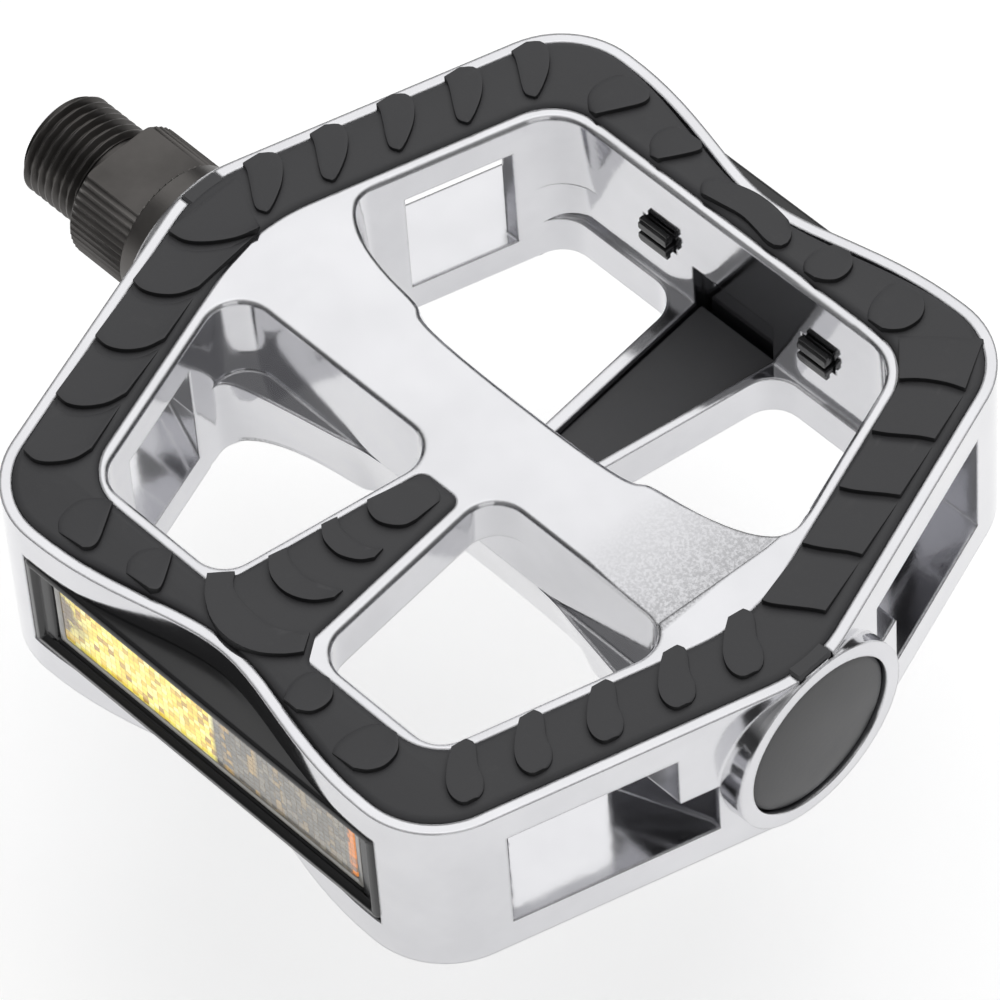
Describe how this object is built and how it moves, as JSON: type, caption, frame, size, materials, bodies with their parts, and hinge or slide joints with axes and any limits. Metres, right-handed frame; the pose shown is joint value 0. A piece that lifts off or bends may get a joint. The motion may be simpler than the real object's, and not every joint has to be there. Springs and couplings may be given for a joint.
{
  "type": "bicycle flat pedal",
  "caption": "Cast alloy platform pedal with rubber tread on both faces and side reflectors, turning on a threaded steel spindle.",
  "frame": {"origin": "where the spindle axis meets the shoulder that seats on the crank arm", "axes": "+X along the spindle away from the crank, +Z out of the top tread, +Y square to both, toward the front reflector"},
  "size_m": [0.13, 0.1002, 0.0294],
  "materials": {
    "body": "polished",
    "top_tread": "matt black rubber",
    "bottom_tread": "matt black rubber",
    "spindle": "black oxide",
    "inboard_seal": "matt black rubber",
    "inboard_cup": "ground",
    "inboard_balls": "polished",
    "outboard_cup": "ground",
    "outboard_balls": "polished",
    "adjusting_cone": "ground",
    "tongued_washer": "zinc plated",
    "locknut": "zinc plated",
    "dust_cap": "satin black",
    "front_reflector_housing": "gloss black",
    "front_reflector_lens": "clear amber",
    "front_reflector_backing": "matt",
    "rear_reflector_housing": "gloss black",
    "rear_reflector_lens": "clear amber",
    "rear_reflector_backing": "matt"
  },
  "bodies": {
    "spindle_assembly": {"spindle": "spindle", "adjusting_cone": "adjusting_cone", "tongued_washer": "tongued_washer", "locknut": "locknut"},
    "platform": {"body": "body", "top_tread": "top_tread", "bottom_tread": "bottom_tread", "inboard_seal": "inboard_seal", "inboard_cup": "inboard_cup", "outboard_cup": "outboard_cup", "dust_cap": "dust_cap", "front_reflector_housing": "front_reflector_housing", "front_reflector_lens": "front_reflector_lens", "front_reflector_backing": "front_reflector_backing", "rear_reflector_housing": "rear_reflector_housing", "rear_reflector_lens": "rear_reflector_lens", "rear_reflector_backing": "rear_reflector_backing"},
    "inboard_ball_set": {"inboard_balls": "inboard_balls"},
    "outboard_ball_set": {"outboard_balls": "outboard_balls"}
  },
  "joints": [
    {"name": "platform_spin", "type": "hinge", "parent": "spindle_assembly", "child": "platform", "pos_m": [0, 0, 0], "axis": [1, 0, 0], "continuous": true},
    {"name": "inboard_balls_roll", "type": "hinge", "parent": "spindle_assembly", "child": "inboard_ball_set", "pos_m": [0, 0, 0], "axis": [1, 0, 0], "continuous": true},
    {"name": "outboard_balls_roll", "type": "hinge", "parent": "spindle_assembly", "child": "outboard_ball_set", "pos_m": [0, 0, 0], "axis": [1, 0, 0], "continuous": true}
  ],
  "couplings": [
    {"joint": "inboard_balls_roll", "follows": "platform_spin", "ratio": 0.5845},
    {"joint": "outboard_balls_roll", "follows": "platform_spin", "ratio": 0.5961}
  ]
}
